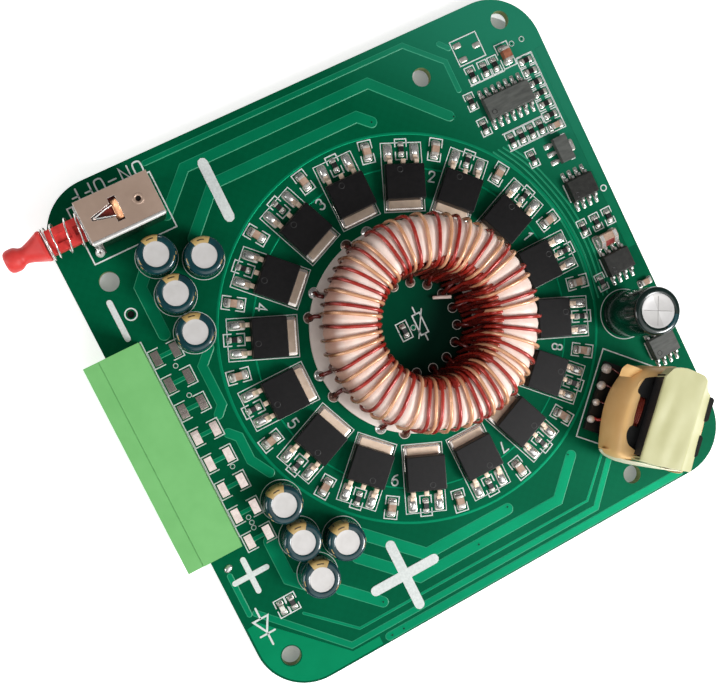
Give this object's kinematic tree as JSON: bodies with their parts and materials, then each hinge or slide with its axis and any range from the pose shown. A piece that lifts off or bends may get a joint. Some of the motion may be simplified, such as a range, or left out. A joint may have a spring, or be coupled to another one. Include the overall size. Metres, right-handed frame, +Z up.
{
  "type": "active balancer board",
  "caption": "Square circuit board with a ring of transistors around a wound ring choke, a plug-in terminal header, a latching push switch, electrolytic capacitors and a taped transformer.",
  "frame": {"origin": "centre of the overall box in X and Y, at the lowest soldered pin ends", "axes": "+X along the push switch's plunger from its knob towards the board, +Z up out of the populated face"},
  "size_m": [0.0964, 0.09, 0.016],
  "materials": {
    "board_green": "semi-gloss solder mask",
    "tinned": "tinned, satin",
    "solder": "bright solder",
    "white_ring": "matte",
    "ferrite": "matte",
    "wrap": "satin tape",
    "copper_enamel": "glossy enamel",
    "red_enamel": "glossy enamel",
    "black_epoxy": "matte moulded",
    "ceramic_tan": "matte ceramic",
    "ceramic_brown": "matte ceramic",
    "clear_white": "glossy",
    "sleeve_teal": "glossy film",
    "sleeve_black": "glossy film",
    "can": "satin",
    "bung": "matte",
    "header_green": "matte moulded",
    "case_metal": "satin plated",
    "copper_alloy": "satin",
    "plunger_red": "semi-gloss",
    "spring_steel": "bright",
    "bobbin_black": "matte moulded",
    "tape_tan": "satin film",
    "tape_yellow": "satin film"
  },
  "bodies": {
    "board": {"circuit_board": "board_green", "link_pads": "tinned", "solder_joints": "solder", "choke_base_ring": "white_ring", "choke_core": "ferrite", "choke_wrap": "wrap", "winding_copper": "copper_enamel", "winding_red": "red_enamel", "winding_leads": "red_enamel", "transistor_bodies": "black_epoxy", "transistor_frames": "tinned", "gate_resistor_bodies": "black_epoxy", "gate_resistor_ends": "tinned", "ring_capacitor_bodies": "ceramic_tan", "ring_capacitor_ends": "tinned", "sensor_body": "black_epoxy", "sensor_ends": "tinned", "controller_body": "black_epoxy", "controller_leads": "tinned", "driver_bodies": "black_epoxy", "driver_leads": "tinned", "regulator_body": "black_epoxy", "regulator_leads": "tinned", "chip_resistor_bodies": "black_epoxy", "chip_resistor_ends": "tinned", "chip_capacitor_bodies": "ceramic_tan", "chip_capacitor_ends": "tinned", "large_chip_body": "ceramic_brown", "large_chip_ends": "tinned", "indicator_body": "clear_white", "indicator_ends": "tinned", "small_cans": "can", "small_sleeves": "sleeve_teal", "small_bungs": "bung", "small_leads": "tinned", "tall_can": "can", "tall_sleeve": "sleeve_black", "tall_bung": "bung", "tall_leads": "tinned", "header_housing": "header_green", "header_pins": "tinned", "switch_case": "case_metal", "switch_base": "bobbin_black", "switch_terminals": "tinned", "switch_latch": "copper_alloy", "switch_contacts": "copper_alloy", "return_spring": "spring_steel", "bobbin": "bobbin_black", "bobbin_pins": "tinned", "core_upper": "ferrite", "core_lower": "ferrite", "transformer_winding": "red_enamel", "winding_tape": "tape_tan", "core_tape": "tape_yellow"},
    "push_plunger": {"plunger": "plunger_red", "plunger_contact": "copper_alloy"}
  },
  "joints": [
    {"name": "plunger_press", "type": "slide", "parent": "board", "child": "push_plunger", "axis": [1, 0, 0], "range_m": [0, 0.0025], "stiffness_N_per_m": 400, "springref_m": -0.003, "deforming": ["return_spring"]}
  ]
}
